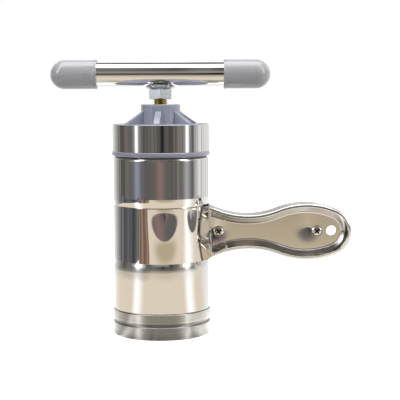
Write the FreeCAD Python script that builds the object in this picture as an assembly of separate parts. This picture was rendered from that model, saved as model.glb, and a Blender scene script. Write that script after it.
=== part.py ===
import FreeCAD, Part
import math
import os
from FreeCAD import Vector

# Screw-driven noodle press standing upright on its die cap.
# Millimetres, +Z up. The origin is on the barrel's axis, in the plane the die cap stands on.
# The side handle points along +X, and the T-handle lies along X at rest.

# Inner cylinder
BORE_R = 28.2            # dough chamber
CYL_WALL = 2.2
FLANGE_H = 7.0
FLANGE_STEP = 0.9        # how far flange and die cap stand out from the shell
THREAD_ROOM = 0.9        # radial room for the threads of die cap and lid
SEAT_GAP = 0.1           # between faces that seat on each other and come apart
EDGE_BREAK = 0.5         # chamfer on turned edges
FLANGE_BREAK = 0.15      # finer chamfer on the flange's top edge, beside the shell

# Die cap and die plate
CAP_H = 8.7
CAP_LIP_T = 2.0          # inward lip that carries the die plate
DIE_SEAT = 1.7           # how far that lip reaches in past the chamber's wall
DIE_T = 1.6
DIE_PLAY = 0.5           # radial play of the die plate inside the cap
DIE_HOLE_R = 2.3
DIE_PITCH = 9.2          # spacing of the holes, in rings of six
DIE_RINGS = 2
GROOVE_H = 1.5           # groove between cap and flange
GROOVE_DEPTH = 1.3       # down to the collar that stops the cap

# Outer shell
SHELL_GAP = 1.6          # between the cylinder and the shell's wall
SHELL_T = 0.7
SHELL_H = 104.8
SHELL_ROUND = 2.0        # rolled-in top edge
SHELL_FIT = 0.1          # between the rolled edge and the cylinder
SHELL_HEM = 0.6          # rounding of the shell's foot
WAIST_DEPTH = 0.9        # how far the waist under the strap is drawn in
SHOULDER_H = 6.0         # height of the curve that leads into the waist

# Handle strap: a band round the waist whose ends are the two dished handle halves
STRAP_T = 0.8
STRAP_FIT = 0.05         # between strap and waist
STRAP_EDGE = 0.2         # between the strap's edges and the shoulders
STRAP_HALF = 18.4        # half of the strap's height
HANDLE_RISE = 52.7       # height of the handle's centre line above the shell's foot
CREST_STEP = 0.35        # from the strap's outside to the fold where the handle begins
HALF_DEPTH = 10.0        # from the seam between the halves to the top of the rim
SEAM = 0.3               # gap between the halves
NECK_RUN = 27.0          # from the fold to the thinnest place of the handle
NECK_HALF = 11.9
PALM_RUN = 39.5          # from there to the widest place
PALM_HALF = 19.5
PALM_R = 52.0            # radius of the long curve on the palm's outer side
END_RUN = 30.8           # from the widest place to the handle's end
RIM_ROUND = 2.0          # of the rim's outer edge
RIM_FLAT = 0.5           # flat of the rim beside the recess
RIM_BREAK = 0.65         # rounding of the rim towards the recess
FLOOR_GAP = 2.4          # between the two dished floors, where the spacers lie
RECESS_SLOPE = 3.8       # width of the recess's sloping wall
CREST_W = 1.3            # flat of the fold beside the recess
CREST_SLOPE = 1.2        # width of the recess's wall at the fold
FLOOR_ROUND = 1.2        # between the recess's floor and its walls
FOLD_ROUND = 1.2         # outside of the fold
HANG_INSET = 13.2        # from the handle's end to the middle of the hang hole
HANG_R = 3.5

# Handle screws
ROOT_BOLT_RUN = 6.4      # from the fold to the first screw
PALM_BOLT_RUN = 10.0     # from the second screw to the hang hole
BOLT_R = 2.0
BOLT_FIT = 0.2
BOLT_HEAD_W = 1.7        # how far the head stands out round the shank
BOLT_HEAD_H = 2.4
BOLT_TAIL = 0.8          # screw end beyond its nut
BOLT_NUT_WALL = 1.5
BOLT_NUT_H = 3.2
SPACER_WALL = 1.3

# Lid
LID_GAP = 0.5            # visible gap between the shell and the lid
LID_WALL = 1.4           # plastic skirt under the band
LIP_STEP = 0.4           # how far the lip stands out from the band
LIP_H = 3.2
LIP_ROUND = 0.8
BAND_T = 0.5
BAND_H = 18.0
PLATE_RISE = 0.5         # how far the lid's plate stands above the band
PLATE_T = 4.0
BOSS_WALL = 3.6          # outside the corners of the lid nut
BOSS_H = 13.1
BOSS_ROUND = 0.8
RIB_COUNT = 6
RIB_T = 4.2
RIB_INSET = 7.6          # from the band to the foot of a rib
RIB_DROP = 4.6           # from the top of the boss to the top of a rib
RIB_TOE = 0.6            # height of a rib at its foot
RIB_ROUND = 0.5          # of a rib's sloping edges
RIB_ANGLE = -95.0        # azimuth of the rib that faces the front
LID_NUT_WALL = 3.5       # from the thread to the flats
LID_NUT_H = 11.0         # hexagon inside the boss
LID_NUT_FLANGE_W = 2.2   # how far the flange stands out from the corners
LID_NUT_FLANGE_T = 2.2

# Lead screw and piston
LEAD_R = 5.0
RUN_FIT = 0.06           # radial clearance of threads and journals
LEAD_ROOM = 0.5          # radial clearance in plastic and sheet holes
JOURNAL_STEP = 1.0       # shoulder that bears on the thrust washer
END_PLAY = 0.2
PISTON_PLAY = 0.3        # radial
PISTON_GAP = 4.6         # from the die plate to the piston's face at rest
PISTON_T = 5.0           # piston's disc
PISTON_SKIRT_H = 11.0    # outer wall of the piston
PISTON_WALL = 2.4
HUB_WALL = 2.0           # round the pocket
HUB_H = 14.0
PISTON_RIBS = 6
PISTON_RIB_T = 2.4
POCKET_ROOM = 1.4        # recess in the piston's face, round the washer
POCKET_H = 4.6
WASHER_W = 3.6           # how far the retaining washer stands out from the journal
WASHER_T = 1.2
THRUST_INSET = 1.5       # from the hub's edge to the thrust washer
THRUST_T = 1.5
END_BOLT_WALL = 1.5      # of the journal round the retaining screw
END_BOLT_L = 12.0
END_BOLT_HEAD_W = 2.1
END_BOLT_HEAD_H = 2.6

# T-handle
NUT_CLEAR = 3.6          # thread left between the boss and the flange nut at rest
FNUT_WALL = 2.5          # from the thread to the flats
FNUT_H = 10.2
FNUT_FLANGE_W = 1.34     # how far the flange stands out from the corners
FNUT_FLANGE_T = 1.2
FNUT_CONE = 1.4          # height of the cone from flange to hexagon
FNUT_DISH = 1.3          # how far the flange's rim lies below its bearing face
FNUT_SEAT_W = 2.0        # width of the bearing face round the thread
BAR_R = 8.0
BAR_WALL = 1.0
BAR_DENT = 1.4           # depth of the pressed seat for the flange nut
DENT_RUN = 5.0           # length of the curve from the seat to the round tube
BAR_SEAT_EDGE = 0.6      # flat of that seat beyond the nut's bearing face
HEAD_FIT = 0.25          # between the screw's head and the inside of the tube
HEAD_ROOM = 3.9          # above the screw's head
HEAD_L = 20.0            # length of the screw's head along the tube
T_LENGTH = 150.0         # over both caps
GRIP_WALL = 1.85
GRIP_L = 31.8
GRIP_BEAD = 0.2          # thickened rim at a cap's open end
GRIP_BEAD_L = 1.4

# Radii that follow from those sizes
CYL_R = BORE_R + CYL_WALL
CAP_BORE_R = CYL_R + THREAD_ROOM
MOUTH_R = BORE_R - DIE_SEAT
SHELL_R = CYL_R + SHELL_GAP + SHELL_T
CAP_R = SHELL_R + FLANGE_STEP
COLLAR_R = CAP_R - GROOVE_DEPTH
WAIST_R = SHELL_R - WAIST_DEPTH
STRAP_IN_R = WAIST_R + STRAP_FIT
STRAP_OUT_R = STRAP_IN_R + STRAP_T
SKIRT_R = CAP_BORE_R + LID_WALL
LID_R = SKIRT_R + BAND_T
LIP_R = LID_R + LIP_STEP
RIB_FOOT_R = LID_R - RIB_INSET
LID_NUT_AF = 2 * (LEAD_R + LID_NUT_WALL)
LID_NUT_CORNER = LID_NUT_AF / math.sqrt(3)
LID_NUT_FLANGE_R = LID_NUT_CORNER + LID_NUT_FLANGE_W
BOSS_R = LID_NUT_CORNER + BOSS_WALL
JOURNAL_R = LEAD_R - JOURNAL_STEP
END_BOLT_R = JOURNAL_R - END_BOLT_WALL
END_BOLT_HEAD_R = END_BOLT_R + END_BOLT_HEAD_W
WASHER_R = JOURNAL_R + WASHER_W
POCKET_R = WASHER_R + POCKET_ROOM
HUB_R = POCKET_R + HUB_WALL
THRUST_R = HUB_R - THRUST_INSET
BOLT_HEAD_R = BOLT_R + BOLT_HEAD_W
BOLT_NUT_AF = 2 * (BOLT_R + BOLT_NUT_WALL)
FNUT_AF = 2 * (LEAD_R + FNUT_WALL)
FNUT_CORNER = FNUT_AF / math.sqrt(3)
FNUT_FLANGE_R = FNUT_CORNER + FNUT_FLANGE_W
FNUT_SEAT_R = LEAD_R + FNUT_SEAT_W
BAR_IN_R = BAR_R - BAR_WALL
GRIP_R = BAR_R + GRIP_WALL

# Heights and places that follow from them
DIE_TOP = CAP_LIP_T + DIE_T
FLANGE_Z = CAP_H + GROOVE_H
SHELL_Z = FLANGE_Z + FLANGE_H
SHELL_TOP = SHELL_Z + SHELL_H
LIP_Z = SHELL_TOP + LID_GAP
BAND_Z = LIP_Z + LIP_H
PLATE_TOP = BAND_Z + BAND_H + PLATE_RISE
PLATE_Z = PLATE_TOP - PLATE_T
BOSS_TOP = PLATE_TOP + BOSS_H
CYL_TOP = PLATE_Z - SEAT_GAP
HANDLE_Z = SHELL_Z + HANDLE_RISE
CREST_X = STRAP_OUT_R + CREST_STEP
NECK_X = CREST_X + NECK_RUN
PALM_X = NECK_X + PALM_RUN
HANDLE_END = PALM_X + END_RUN
HANG_X = HANDLE_END - HANG_INSET
BOLT_XS = (CREST_X + ROOT_BOLT_RUN, HANG_X - PALM_BOLT_RUN)
RIM_W = RIM_ROUND + RIM_FLAT
FLOOR_DEPTH = FLOOR_GAP / 2 + STRAP_T
RECESS = HALF_DEPTH - FLOOR_DEPTH
PISTON_Z = DIE_TOP + PISTON_GAP
HUB_TOP = PISTON_Z + HUB_H
SHOULDER_Z = HUB_TOP + THRUST_T + END_PLAY
JOURNAL_END = PISTON_Z + POCKET_H - END_PLAY
FNUT_Z = BOSS_TOP + NUT_CLEAR
FNUT_TOP = FNUT_Z + FNUT_H
BAR_Z = FNUT_TOP - BAR_DENT + BAR_R
BAR_SEAT = FNUT_SEAT_R + BAR_SEAT_EDGE

UP = Vector(0, 0, 1)
FRONT = Vector(0, -1, 0)
ORIGIN = Vector(0, 0, 0)
OVERRUN = 1.0            # how far a cutting shape passes the face it opens
TINY = 1e-6              # for comparing places


def rod(radius, z0, z1, x=0.0, y=0.0):
    """Upright cylinder between two heights."""
    return Part.makeCylinder(radius, z1 - z0, Vector(x, y, z0), UP)


def cross_rod(radius, y0, y1, x, z):
    """Cylinder along Y between two depths."""
    return Part.makeCylinder(radius, y1 - y0, Vector(x, y0, z), Vector(0, 1, 0))


def ring(outer, inner, z0, z1):
    """Upright tube."""
    return rod(outer, z0, z1).cut(rod(inner, z0 - OVERRUN, z1 + OVERRUN))


def hexagon(across_flats, z0, z1):
    """Upright hexagonal prism, one corner towards the front."""
    corner = across_flats / math.sqrt(3)
    points = []
    for i in range(7):
        angle = math.radians(30 + 60 * i)
        points.append(Vector(corner * math.cos(angle), corner * math.sin(angle), z0))
    return Part.Face(Part.makePolygon(points)).extrude(Vector(0, 0, z1 - z0))


def revolved(edges):
    """Solid of revolution about Z of a closed profile in the XZ plane."""
    return Part.Face(Part.Wire(edges)).revolve(ORIGIN, UP, 360)


def profile(points):
    """Straight-sided profile in the XZ plane from (radius, height) pairs."""
    corners = [Vector(r, 0, z) for r, z in points]
    return Part.makePolygon(corners + corners[:1]).Edges


def line(a, b):
    """Straight edge between two points."""
    return Part.LineSegment(a, b).toShape()


def arc(centre, radius, start, end):
    """Arc in the XZ plane, angles in degrees from +X towards +Z."""
    def at(angle):
        turn = math.radians(angle)
        return Vector(centre[0] + radius * math.cos(turn), 0, centre[1] + radius * math.sin(turn))
    return Part.Arc(at(start), at((start + end) / 2), at(end)).toShape()


def make_die_cap():
    """Ring with an inward lip, threaded inside where it screws onto the cylinder."""
    return revolved(profile([
        (MOUTH_R, 0), (CAP_R - EDGE_BREAK, 0), (CAP_R, EDGE_BREAK), (CAP_R, CAP_H - EDGE_BREAK),
        (CAP_R - EDGE_BREAK, CAP_H), (CAP_BORE_R, CAP_H), (CAP_BORE_R, CAP_LIP_T), (MOUTH_R, CAP_LIP_T)]))


def make_die_plate():
    """Disc with round holes in hexagonal rings."""
    plate = rod(CAP_BORE_R - DIE_PLAY, CAP_LIP_T, DIE_TOP)
    holes = [rod(DIE_HOLE_R, 0, DIE_TOP + OVERRUN)]
    spoke = Vector(DIE_PITCH, 0, 0)
    along = FreeCAD.Rotation(UP, 120).multVec(spoke)
    for count in range(1, DIE_RINGS + 1):
        for side in range(6):
            for step in range(count):
                place = FreeCAD.Rotation(UP, 60 * side).multVec(spoke * count + along * step)
                holes.append(rod(DIE_HOLE_R, 0, DIE_TOP + OVERRUN, place.x, place.y))
    return plate.cut(Part.makeCompound(holes))


def make_inner_cylinder():
    """Cylinder with a flange, and under it the collar that the die cap is screwed up against."""
    foot = DIE_TOP + SEAT_GAP
    stop = CAP_H + SEAT_GAP
    top = SHELL_Z
    return revolved(profile([
        (BORE_R, foot), (CYL_R - EDGE_BREAK, foot), (CYL_R, foot + EDGE_BREAK), (CYL_R, stop),
        (COLLAR_R, stop), (COLLAR_R, FLANGE_Z), (CAP_R - EDGE_BREAK, FLANGE_Z),
        (CAP_R, FLANGE_Z + EDGE_BREAK), (CAP_R, top - FLANGE_BREAK), (CAP_R - FLANGE_BREAK, top),
        (CYL_R, top), (CYL_R, CYL_TOP - EDGE_BREAK), (CYL_R - EDGE_BREAK, CYL_TOP), (BORE_R, CYL_TOP)]))


def shell_line(inset):
    """One side of the shell's wall from foot to rolled top, as edges of a profile."""
    bend = (SHOULDER_H ** 2 + WAIST_DEPTH ** 2) / (2 * WAIST_DEPTH)
    radius = bend - inset
    reach = bend - WAIST_DEPTH - inset
    tilt = math.degrees(math.acos(reach / radius))
    rise = radius * math.sin(math.radians(tilt))
    half = STRAP_HALF + STRAP_EDGE
    low = HANDLE_Z - half
    high = HANDLE_Z + half
    outside = SHELL_R - inset
    waist = WAIST_R - inset
    round_z = SHELL_TOP - SHELL_ROUND
    foot = SHELL_Z + SHELL_HEM
    return [
        line(Vector(outside, 0, foot), Vector(outside, 0, low - rise)),
        arc((SHELL_R - bend, low - rise), radius, 0, tilt),
        line(Vector(waist, 0, low), Vector(waist, 0, high)),
        arc((SHELL_R - bend, high + rise), radius, -tilt, 0),
        line(Vector(outside, 0, high + rise), Vector(outside, 0, round_z)),
        arc((SHELL_R - SHELL_ROUND, round_z), SHELL_ROUND - inset, 0, 90)]


def make_outer_shell():
    outside = shell_line(0.0)
    inside = shell_line(SHELL_T)
    rolled = CYL_R + SHELL_FIT
    bend_x = SHELL_R - SHELL_ROUND
    inner = SHELL_R - SHELL_T
    hem = [
        line(Vector(inner, 0, SHELL_Z + SHELL_HEM), Vector(inner, 0, SHELL_Z)),
        line(Vector(inner, 0, SHELL_Z), Vector(SHELL_R - SHELL_HEM, 0, SHELL_Z)),
        arc((SHELL_R - SHELL_HEM, SHELL_Z + SHELL_HEM), SHELL_HEM, -90, 0)]
    rim = Part.makePolygon([
        Vector(bend_x, 0, SHELL_TOP), Vector(rolled, 0, SHELL_TOP), Vector(rolled, 0, SHELL_TOP - SHELL_T),
        Vector(bend_x, 0, SHELL_TOP - SHELL_T)]).Edges
    return revolved(Part.__sortEdges__(outside + rim + inside + hem))


def handle_outline(inset, root_x, depth):
    """Face of the handle's outline, drawn in by an inset and cut off at the root, at one depth (Y)."""
    root_rise = STRAP_HALF - NECK_HALF
    root_run = NECK_X - CREST_X
    root_r = (root_run ** 2 + root_rise ** 2) / (2 * root_rise)
    palm_rise = PALM_HALF - NECK_HALF
    palm_run = PALM_X - NECK_X
    swell_r = (palm_run ** 2 + palm_rise ** 2) / (4 * palm_rise)
    reach = HANDLE_END - PALM_X
    end_r = (2 * PALM_R * PALM_HALF - reach ** 2 - PALM_HALF ** 2) / (2 * (PALM_R - reach))
    end_x = HANDLE_END - end_r
    lean = math.degrees(math.asin(palm_run / 2 / swell_r))
    turn = math.degrees(math.atan2(PALM_R - PALM_HALF, end_x - PALM_X))
    root_lean = math.degrees(math.asin((NECK_X - root_x) / (root_r + inset)))
    upper = [
        arc((NECK_X, NECK_HALF + root_r), root_r + inset, -90 - root_lean, -90),
        arc((NECK_X, NECK_HALF + swell_r), swell_r + inset, -90, -90 + lean),
        arc((PALM_X, PALM_HALF - swell_r), swell_r - inset, 90 + lean, 90),
        arc((PALM_X, PALM_HALF - PALM_R), PALM_R - inset, 90, turn)]
    nose = arc((end_x, 0), end_r - inset, turn, -turn)
    lower = [edge.mirror(ORIGIN, UP) for edge in reversed(upper)]
    corner = upper[0].Vertexes[0].Point
    root = line(Vector(corner.x, 0, -corner.z), corner)
    wire = Part.Wire(Part.__sortEdges__(upper + [nose] + lower + [root]))
    wire.translate(Vector(0, depth, HANDLE_Z))
    return Part.Face(wire)


def handle_block(inset, root_x, depth, edge_round):
    """Half of the handle as a solid block, front edge rounded except at the root."""
    block = handle_outline(inset, root_x, 0.0).extrude(Vector(0, -depth, 0))
    rim = []
    for edge in block.Edges:
        box = edge.BoundBox
        at_front = abs(box.YMin + depth) < TINY and abs(box.YMax + depth) < TINY
        at_root = box.XMax < root_x + TINY
        if at_front and not at_root:
            rim.append(edge)
    return block.makeFillet(edge_round, rim)


def handle_recess(grow):
    """Tool for the dished recess; grow makes it larger all round by a sheet's thickness."""
    slope = RECESS_SLOPE / RECESS
    crest_slope = CREST_SLOPE / RECESS
    side = RIM_W - grow * math.hypot(1, slope)
    crest = CREST_X + CREST_W - grow * math.hypot(1, crest_slope)
    wires = []
    for below in (-OVERRUN, RECESS + grow):
        face = handle_outline(side + below * slope, crest + below * crest_slope, below - HALF_DEPTH)
        wires.append(face.OuterWire)
    return Part.makeLoft(wires, True, True)


def handle_dish():
    """Half of the handle as a block with its dished recess, rounded except at the foot of the fold."""
    dish = handle_block(0.0, CREST_X, HALF_DEPTH, RIM_ROUND).cut(handle_recess(0.0))
    floor = []
    for edge in dish.Edges:
        box = edge.BoundBox
        at_floor = abs(box.YMax + FLOOR_DEPTH) < TINY and abs(box.YMin + FLOOR_DEPTH) < TINY
        if at_floor and box.XLength > TINY:
            floor.append(edge)
    dish = dish.makeFillet(FLOOR_ROUND, floor)
    mouth = handle_outline(RIM_W, CREST_X + CREST_W, -HALF_DEPTH).OuterWire
    rim = []
    for edge in dish.Edges:
        place = edge.CenterOfMass
        if min(place.distanceToPoint(side.CenterOfMass) for side in mouth.Edges) < RIM_FLAT / 4:
            rim.append(edge)
    return dish.makeFillet(RIM_BREAK, rim)


def strap_wedge(radius, crest):
    """Space between the barrel and the two flat flanks that run tangent from it to the folds."""
    away = math.hypot(crest.x, crest.y)
    angle = math.atan2(crest.y, crest.x) - math.acos(radius / away)
    touch = Vector(radius * math.cos(angle), radius * math.sin(angle), 0)
    corners = [ORIGIN, touch, crest, Vector(crest.x, 0, 0), ORIGIN]
    return Part.Face(Part.makePolygon(corners))


def outer_crest():
    """Outside corner of the fold and the outward normal of the flank that runs to it."""
    crest = Vector(CREST_X, -HALF_DEPTH, 0)
    away = math.hypot(crest.x, crest.y)
    angle = math.atan2(crest.y, crest.x) - math.acos(STRAP_OUT_R / away)
    return crest, Vector(math.cos(angle), math.sin(angle), 0)


def inner_crest():
    """Inside corner of the fold, one sheet thickness in from the flank and from the rim."""
    crest, flank = outer_crest()
    return crest - (flank + FRONT) * (STRAP_T / (1 + flank.dot(FRONT)))


def fold_waste(low, high):
    """What the rounding of the fold takes off its sharp corner."""
    crest, flank = outer_crest()
    middle = crest - (flank + FRONT) * (FOLD_ROUND / (1 + flank.dot(FRONT)))
    bow = (flank + FRONT).normalize()
    start = middle + flank * FOLD_ROUND
    end = middle + FRONT * FOLD_ROUND
    beyond = [end, end + FRONT * OVERRUN, crest + bow * (2 * OVERRUN), start + flank * OVERRUN, start]
    edges = [Part.Arc(start, middle + bow * FOLD_ROUND, end).toShape()] + Part.makePolygon(beyond).Edges
    waste = Part.Face(Part.Wire(edges)).extrude(Vector(0, 0, high - low + 2 * OVERRUN))
    waste.translate(Vector(0, 0, low - OVERRUN))
    return waste


def make_strap_half():
    """Front half: half of the band, its flank and one dished half of the handle."""
    low = HANDLE_Z - STRAP_HALF
    high = HANDLE_Z + STRAP_HALF
    span = Vector(0, 0, high - low)
    corner = inner_crest()
    flank = strap_wedge(STRAP_OUT_R, outer_crest()[0]).extrude(span)
    flank.translate(Vector(0, 0, low))
    outside = rod(STRAP_OUT_R, low, high).fuse(flank)
    outside = outside.fuse(handle_dish()).cut(fold_waste(low, high))
    room = strap_wedge(STRAP_IN_R, corner).extrude(span * 2)
    room.translate(Vector(0, 0, low - STRAP_HALF))
    hollow = handle_block(STRAP_T, corner.x, HALF_DEPTH - STRAP_T, RIM_ROUND - STRAP_T)
    hollow = hollow.cut(handle_recess(STRAP_T))
    half = outside.cut(rod(STRAP_IN_R, low - OVERRUN, high + OVERRUN)).cut(room).cut(hollow)
    for x in BOLT_XS:
        half = half.cut(cross_rod(BOLT_R + BOLT_FIT, -HALF_DEPTH, 0, x, HANDLE_Z))
    half = half.cut(cross_rod(HANG_R, -HALF_DEPTH, 0, HANG_X, HANDLE_Z))
    size = 2 * HANDLE_END
    rear = Part.makeBox(2 * size, size, 2 * size, Vector(-size, 0, -size))
    seam = Part.makeBox(size, size, 2 * size, Vector(0, -SEAM / 2, -size))
    return half.cut(rear).cut(seam)


def make_handle_strap():
    front = make_strap_half()
    rear = front.mirror(ORIGIN, Vector(0, 1, 0))
    return front.fuse(rear).removeSplitter()


def turned_to_y(shape, x):
    """Move a fastener drawn upright at the origin to the handle, its top towards the front."""
    shape = shape.copy()
    shape.rotate(ORIGIN, Vector(1, 0, 0), 90)
    shape.translate(Vector(x, 0, HANDLE_Z))
    return shape


def make_handle_screws():
    tail = -FLOOR_DEPTH - BOLT_NUT_H - BOLT_TAIL
    head = rod(BOLT_HEAD_R, FLOOR_DEPTH, FLOOR_DEPTH + BOLT_HEAD_H)
    top = [edge for edge in head.Edges if edge.BoundBox.ZMin > FLOOR_DEPTH + BOLT_HEAD_H / 2]
    head = head.makeFillet(BOLT_HEAD_H / 2, top)
    bolt = head.fuse(rod(BOLT_R, tail, FLOOR_DEPTH))
    return Part.makeCompound([turned_to_y(bolt, x) for x in BOLT_XS])


def make_handle_spacers():
    bore = BOLT_R + BOLT_FIT
    spacer = ring(bore + SPACER_WALL, bore, -FLOOR_GAP / 2, FLOOR_GAP / 2)
    return Part.makeCompound([turned_to_y(spacer, x) for x in BOLT_XS])


def make_handle_nuts():
    nut = hexagon(BOLT_NUT_AF, -FLOOR_DEPTH - BOLT_NUT_H, -FLOOR_DEPTH)
    nut = nut.cut(rod(BOLT_R, -FLOOR_DEPTH - BOLT_NUT_H - OVERRUN, -FLOOR_DEPTH + OVERRUN))
    return Part.makeCompound([turned_to_y(nut, x) for x in BOLT_XS])


def make_lid_moulding():
    """Lid with threaded skirt, plate, round boss and ribs; the lid nut sits in the boss from below."""
    bell = revolved(profile([
        (0, PLATE_TOP), (0, PLATE_Z), (CAP_BORE_R, PLATE_Z), (CAP_BORE_R, LIP_Z), (LIP_R, LIP_Z),
        (LIP_R, BAND_Z), (SKIRT_R, BAND_Z), (SKIRT_R, PLATE_TOP - EDGE_BREAK),
        (SKIRT_R - EDGE_BREAK, PLATE_TOP)]))
    lip = [edge for edge in bell.Edges if edge.BoundBox.ZMax < BAND_Z + TINY
           and edge.BoundBox.ZLength < TINY and edge.BoundBox.XMax > LIP_R - TINY]
    bell = bell.makeFillet(LIP_ROUND, lip)
    boss = rod(BOSS_R, PLATE_Z, BOSS_TOP)
    crown = [edge for edge in boss.Edges if edge.BoundBox.ZMin > BOSS_TOP - TINY]
    boss = boss.makeFillet(BOSS_ROUND, crown)
    body = bell.fuse([boss] + lid_ribs())
    body = body.cut(hexagon(LID_NUT_AF, PLATE_Z - OVERRUN, PLATE_Z + LID_NUT_H))
    return body.cut(rod(LEAD_R + LEAD_ROOM, PLATE_Z - OVERRUN, BOSS_TOP + OVERRUN))


def lid_ribs():
    """Gusset ribs between the boss and the lid's plate."""
    inner = BOSS_R - BOSS_ROUND
    root = PLATE_TOP - PLATE_T / 2
    outline = [(inner, root), (RIB_FOOT_R, root), (RIB_FOOT_R, PLATE_TOP + RIB_TOE),
               (BOSS_R, BOSS_TOP - RIB_DROP), (inner, BOSS_TOP - RIB_DROP)]
    rib = Part.Face(Part.Wire(profile(outline))).extrude(Vector(0, RIB_T, 0))
    rib.translate(Vector(0, -RIB_T / 2, 0))
    boxes = [(edge, edge.BoundBox) for edge in rib.Edges]
    slopes = [edge for edge, box in boxes if box.ZLength > RIB_TOE and box.XLength > RIB_TOE]
    rib = rib.makeFillet(RIB_ROUND, slopes)
    ribs = []
    for i in range(RIB_COUNT):
        copy = rib.copy()
        copy.rotate(ORIGIN, UP, RIB_ANGLE + 360.0 / RIB_COUNT * i)
        ribs.append(copy)
    return ribs


def make_lid_band():
    return ring(LID_R, SKIRT_R, BAND_Z, BAND_Z + BAND_H)


def make_lid_nut():
    """Hexagon nut with a flange that bears against the underside of the lid's plate."""
    low = PLATE_Z - LID_NUT_FLANGE_T
    high = PLATE_Z + LID_NUT_H
    body = hexagon(LID_NUT_AF, PLATE_Z, high).fuse(rod(LID_NUT_FLANGE_R, low, PLATE_Z))
    return body.cut(rod(LEAD_R + RUN_FIT, low - OVERRUN, high + OVERRUN))


def make_piston_plate():
    outer = BORE_R - PISTON_PLAY
    top = PISTON_Z + PISTON_SKIRT_H
    cup = rod(outer, PISTON_Z, top).cut(rod(outer - PISTON_WALL, PISTON_Z + PISTON_T, top + OVERRUN))
    parts = [rod(HUB_R, PISTON_Z, HUB_TOP)]
    for i in range(PISTON_RIBS):
        rib = Part.makeBox(outer - PISTON_WALL / 2, PISTON_RIB_T, PISTON_SKIRT_H,
                           Vector(0, -PISTON_RIB_T / 2, PISTON_Z))
        rib.rotate(ORIGIN, UP, 360.0 / PISTON_RIBS * i)
        parts.append(rib)
    body = cup.fuse(parts)
    body = body.cut(rod(POCKET_R, PISTON_Z - OVERRUN, PISTON_Z + POCKET_H))
    return body.cut(rod(JOURNAL_R + RUN_FIT, PISTON_Z, HUB_TOP + OVERRUN))


def make_thrust_washer():
    return ring(THRUST_R, JOURNAL_R + RUN_FIT, HUB_TOP, HUB_TOP + THRUST_T)


def make_lead_screw():
    head_low = BAR_Z - BAR_IN_R + BAR_DENT
    head_r = BAR_IN_R - HEAD_FIT
    head = Part.makeCylinder(head_r, HEAD_L, Vector(-HEAD_L / 2, 0, BAR_Z), Vector(1, 0, 0))
    head_h = 2 * BAR_IN_R - BAR_DENT - HEAD_ROOM
    slab = Part.makeBox(HEAD_L, 2 * head_r, head_h, Vector(-HEAD_L / 2, -head_r, head_low))
    stem = rod(LEAD_R, SHOULDER_Z, head_low + head_h / 2)
    journal = rod(JOURNAL_R, JOURNAL_END, SHOULDER_Z)
    body = stem.fuse([journal, head.common(slab)])
    return body.cut(rod(END_BOLT_R, JOURNAL_END - OVERRUN, JOURNAL_END + END_BOLT_L))


def make_retaining_washer():
    return ring(WASHER_R, END_BOLT_R, JOURNAL_END - WASHER_T, JOURNAL_END)


def make_retaining_screw():
    seat = JOURNAL_END - WASHER_T
    head = rod(END_BOLT_HEAD_R, seat - END_BOLT_HEAD_H, seat)
    low = [edge for edge in head.Edges if edge.BoundBox.ZMax < seat - END_BOLT_HEAD_H / 2]
    head = head.makeFillet(END_BOLT_HEAD_H / 2, low)
    return head.fuse(rod(END_BOLT_R, seat, JOURNAL_END + END_BOLT_L))


def make_flange_nut():
    """Hexagon nut whose flange is dished, so that it bears on the tube close round the thread."""
    rim_high = FNUT_TOP - FNUT_DISH
    rim_low = rim_high - FNUT_FLANGE_T
    cone_low = rim_low - FNUT_CONE
    prism = hexagon(FNUT_AF, FNUT_Z, rim_low)
    chamfer = FNUT_CORNER - FNUT_AF / 2
    turned = revolved(profile([
        (0, FNUT_Z), (FNUT_AF / 2, FNUT_Z), (FNUT_CORNER, FNUT_Z + chamfer),
        (FNUT_CORNER, rim_low), (0, rim_low)]))
    flange = revolved(profile([
        (0, cone_low), (FNUT_AF / 2, cone_low), (FNUT_FLANGE_R, rim_low), (FNUT_FLANGE_R, rim_high),
        (FNUT_SEAT_R, FNUT_TOP), (0, FNUT_TOP)]))
    nut = prism.common(turned).fuse(flange)
    return nut.cut(rod(LEAD_R, FNUT_Z - OVERRUN, FNUT_TOP + OVERRUN))


def dented_bar(radius, half_length):
    """Bar along X, pressed flat on its underside where the nut bears, with a long curve to each side."""
    bar = Part.makeCylinder(radius, 2 * half_length, Vector(-half_length, 0, BAR_Z), Vector(1, 0, 0))
    crown = BAR_Z - radius + BAR_DENT
    press_r = (DENT_RUN ** 2 + BAR_DENT ** 2) / (2 * BAR_DENT)
    tilt = math.degrees(math.asin(DENT_RUN / press_r))
    left = arc((-BAR_SEAT, crown - press_r), press_r, 90 + tilt, 90)
    right = arc((BAR_SEAT, crown - press_r), press_r, 90, 90 - tilt)
    flat = line(left.Vertexes[1].Point, right.Vertexes[0].Point)
    base = line(right.Vertexes[1].Point, left.Vertexes[0].Point)
    press = Part.Face(Part.Wire([left, flat, right, base])).extrude(Vector(0, 4 * radius, 0))
    press.translate(Vector(0, -2 * radius, 0))
    return bar.cut(press)


def make_handle_tube():
    half = T_LENGTH / 2 - GRIP_R
    tube = dented_bar(BAR_R, half).cut(dented_bar(BAR_IN_R, half + OVERRUN))
    return tube.cut(rod(LEAD_R + LEAD_ROOM, FNUT_TOP - OVERRUN, BAR_Z))


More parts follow.
